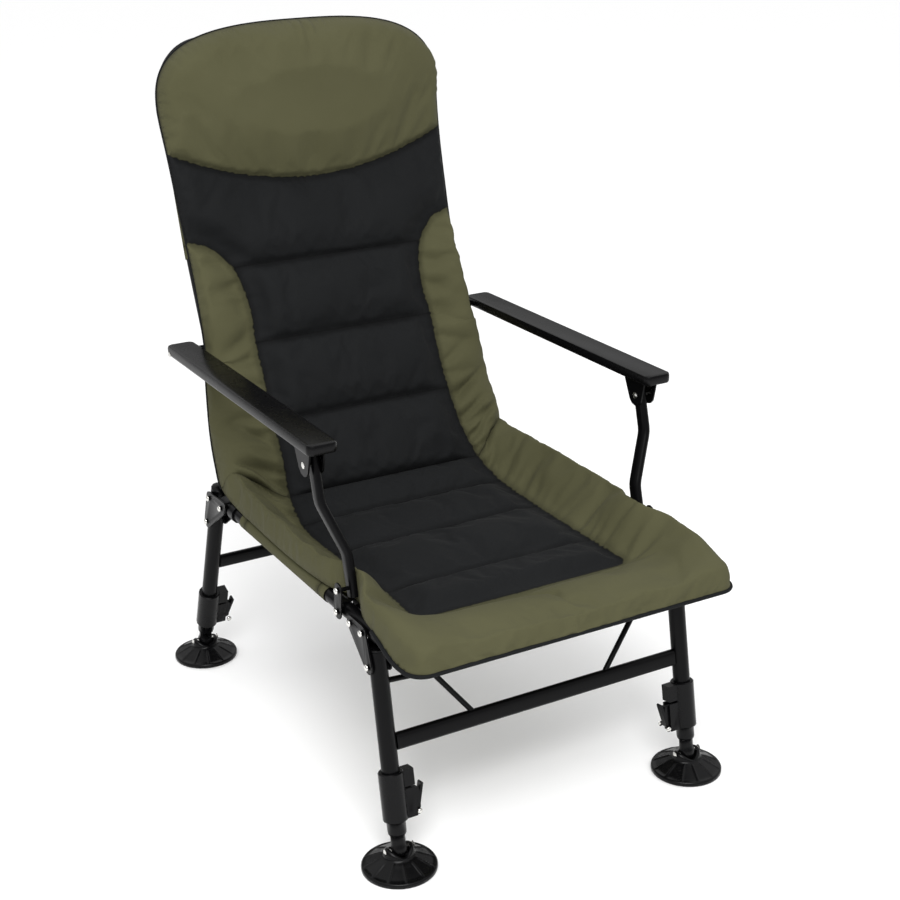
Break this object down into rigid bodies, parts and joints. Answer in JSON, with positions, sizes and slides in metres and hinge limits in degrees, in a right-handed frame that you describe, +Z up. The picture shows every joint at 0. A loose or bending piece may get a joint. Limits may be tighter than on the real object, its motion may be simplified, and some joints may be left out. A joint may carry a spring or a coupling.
{
  "type": "fishing chair",
  "caption": "Folding bank chair with a reclined channelled mattress, swinging armrests on posts, and telescopic legs with lock collars on tilting round mud feet.",
  "frame": {"origin": "centre of the bounding box in X and Y, on the floor under the feet", "axes": "+X points to the right seen from in front, the seat's front is -Y and the back leans to +Y, +Z points up"},
  "size_m": [0.5874, 0.8556, 1.0553],
  "materials": {
    "powder_coat": "satin black powder coat on steel",
    "black_plastic": "black moulded nylon, slightly glossy",
    "nickel": "bright nickel plate",
    "olive_fabric": "olive woven polyester, matte",
    "black_fabric": "near-black woven polyester, matte"
  },
  "bodies": {
    "seat": {"seat_frame": "powder_coat", "seat_sling": "olive_fabric", "seat_pad": "olive_fabric", "lumbar_pad": "olive_fabric", "rail_cap_left": "black_plastic", "front_leg_bracket_left": "powder_coat", "post_bracket_left": "powder_coat", "back_hinge_bracket_left": "powder_coat", "rail_cap_right": "black_plastic", "front_leg_bracket_right": "powder_coat", "post_bracket_right": "powder_coat", "back_hinge_bracket_right": "powder_coat"},
    "back": {"back_frame": "powder_coat", "back_sling": "olive_fabric", "back_pad": "black_fabric", "head_pad": "olive_fabric", "armrest_bolt_left": "nickel", "armrest_bolt_right": "nickel"},
    "armrest_left": {"armrest_left": "black_plastic", "armrest_bracket_left": "powder_coat", "armrest_rivet_left": "nickel"},
    "arm_post_left": {"arm_post_left": "powder_coat"},
    "armrest_right": {"armrest_right": "black_plastic", "armrest_bracket_right": "powder_coat", "armrest_rivet_right": "nickel"},
    "arm_post_right": {"arm_post_right": "powder_coat"},
    "front_legs": {"front_crossbar": "powder_coat", "front_leg_left": "powder_coat", "front_leg_cap_left": "black_plastic", "front_collar_left": "black_plastic", "front_leg_right": "powder_coat", "front_leg_cap_right": "black_plastic", "front_collar_right": "black_plastic", "front_stay_left": "powder_coat", "front_stay_right": "powder_coat"},
    "rear_legs": {"rear_crossbar": "powder_coat", "rear_leg_left": "powder_coat", "rear_leg_cap_left": "black_plastic", "rear_collar_left": "black_plastic", "rear_leg_right": "powder_coat", "rear_leg_cap_right": "black_plastic", "rear_collar_right": "black_plastic", "rear_leg_bracket_left": "powder_coat", "rear_leg_bracket_right": "powder_coat"},
    "front_inner_left": {"front_inner_leg_left": "black_plastic"},
    "front_lever_left": {"front_lever_left": "black_plastic"},
    "front_foot_left": {"front_foot_left": "black_plastic", "front_foot_pin_left": "nickel"},
    "front_inner_right": {"front_inner_leg_right": "black_plastic"},
    "front_lever_right": {"front_lever_right": "black_plastic"},
    "front_foot_right": {"front_foot_right": "black_plastic", "front_foot_pin_right": "nickel"},
    "rear_inner_left": {"rear_inner_leg_left": "black_plastic"},
    "rear_lever_left": {"rear_lever_left": "black_plastic"},
    "rear_foot_left": {"rear_foot_left": "black_plastic", "rear_foot_pin_left": "nickel"},
    "rear_inner_right": {"rear_inner_leg_right": "black_plastic"},
    "rear_lever_right": {"rear_lever_right": "black_plastic"},
    "rear_foot_right": {"rear_foot_right": "black_plastic", "rear_foot_pin_right": "nickel"}
  },
  "joints": [
    {"name": "back_fold", "type": "hinge", "parent": "seat", "child": "back", "pos_m": [0, 0.23417, 0.397], "axis": [1, 0, 0], "range_deg": [0, 100], "deforming": ["seat_pad", "lumbar_pad"]},
    {"name": "armrest_left_turn", "type": "hinge", "parent": "back", "child": "armrest_left", "pos_m": [-0.2684, 0.27817, 0.568], "axis": [1, 0, 0], "range_deg": [-100, 0]},
    {"name": "arm_post_left_turn", "type": "hinge", "parent": "seat", "child": "arm_post_left", "pos_m": [-0.237, -0.23483, 0.368], "axis": [1, 0, 0], "range_deg": [0, 100]},
    {"name": "armrest_right_turn", "type": "hinge", "parent": "back", "child": "armrest_right", "pos_m": [0.2684, 0.27817, 0.568], "axis": [1, 0, 0], "range_deg": [-100, 0]},
    {"name": "arm_post_right_turn", "type": "hinge", "parent": "seat", "child": "arm_post_right", "pos_m": [0.237, -0.23483, 0.368], "axis": [1, 0, 0], "range_deg": [0, 100]},
    {"name": "front_legs_fold", "type": "hinge", "parent": "seat", "child": "front_legs", "pos_m": [0, -0.31983, 0.291], "axis": [1, 0, 0], "range_deg": [0, 93]},
    {"name": "rear_legs_fold", "type": "hinge", "parent": "seat", "child": "rear_legs", "pos_m": [0, 0.18817, 0.335], "axis": [-1, 0, 0], "range_deg": [0, 80]},
    {"name": "front_leg_left_extend", "type": "slide", "parent": "front_legs", "child": "front_inner_left", "axis": [0, 0.1662, 0.9861], "range_m": [-0.11, 0]},
    {"name": "front_lever_left_open", "type": "hinge", "parent": "front_legs", "child": "front_lever_left", "pos_m": [-0.2223, -0.35602, 0.07635], "axis": [0, 0.9861, -0.1662], "range_deg": [0, 90]},
    {"name": "front_foot_left_tilt", "type": "hinge", "parent": "front_inner_left", "child": "front_foot_left", "pos_m": [-0.243, -0.36383, 0.03], "axis": [1, 0, 0], "range_deg": [-20, 20]},
    {"name": "front_leg_right_extend", "type": "slide", "parent": "front_legs", "child": "front_inner_right", "axis": [0, 0.1662, 0.9861], "range_m": [-0.11, 0]},
    {"name": "front_lever_right_open", "type": "hinge", "parent": "front_legs", "child": "front_lever_right", "pos_m": [0.2223, -0.35602, 0.07635], "axis": [0, -0.9861, 0.1662], "range_deg": [0, 90]},
    {"name": "front_foot_right_tilt", "type": "hinge", "parent": "front_inner_right", "child": "front_foot_right", "pos_m": [0.243, -0.36383, 0.03], "axis": [1, 0, 0], "range_deg": [-20, 20]},
    {"name": "rear_leg_left_extend", "type": "slide", "parent": "rear_legs", "child": "rear_inner_left", "axis": [0, -0.3476, 0.9377], "range_m": [-0.11, 0]},
    {"name": "rear_lever_left_open", "type": "hinge", "parent": "rear_legs", "child": "rear_lever_left", "pos_m": [-0.2223, 0.33383, 0.07407], "axis": [0, 0.9377, 0.3476], "range_deg": [0, 90]},
    {"name": "rear_foot_left_tilt", "type": "hinge", "parent": "rear_inner_left", "child": "rear_foot_left", "pos_m": [-0.243, 0.35017, 0.03], "axis": [-1, 0, 0], "range_deg": [-20, 15]},
    {"name": "rear_leg_right_extend", "type": "slide", "parent": "rear_legs", "child": "rear_inner_right", "axis": [0, -0.3476, 0.9377], "range_m": [-0.11, 0]},
    {"name": "rear_lever_right_open", "type": "hinge", "parent": "rear_legs", "child": "rear_lever_right", "pos_m": [0.2223, 0.33383, 0.07407], "axis": [0, -0.9377, -0.3476], "range_deg": [0, 90]},
    {"name": "rear_foot_right_tilt", "type": "hinge", "parent": "rear_inner_right", "child": "rear_foot_right", "pos_m": [0.243, 0.35017, 0.03], "axis": [-1, 0, 0], "range_deg": [-20, 15]}
  ],
  "couplings": [
    {"joint": "armrest_left_turn", "follows": "back_fold", "ratio": -1},
    {"joint": "arm_post_left_turn", "follows": "back_fold", "ratio": 1},
    {"joint": "armrest_right_turn", "follows": "back_fold", "ratio": -1},
    {"joint": "arm_post_right_turn", "follows": "back_fold", "ratio": 1}
  ]
}
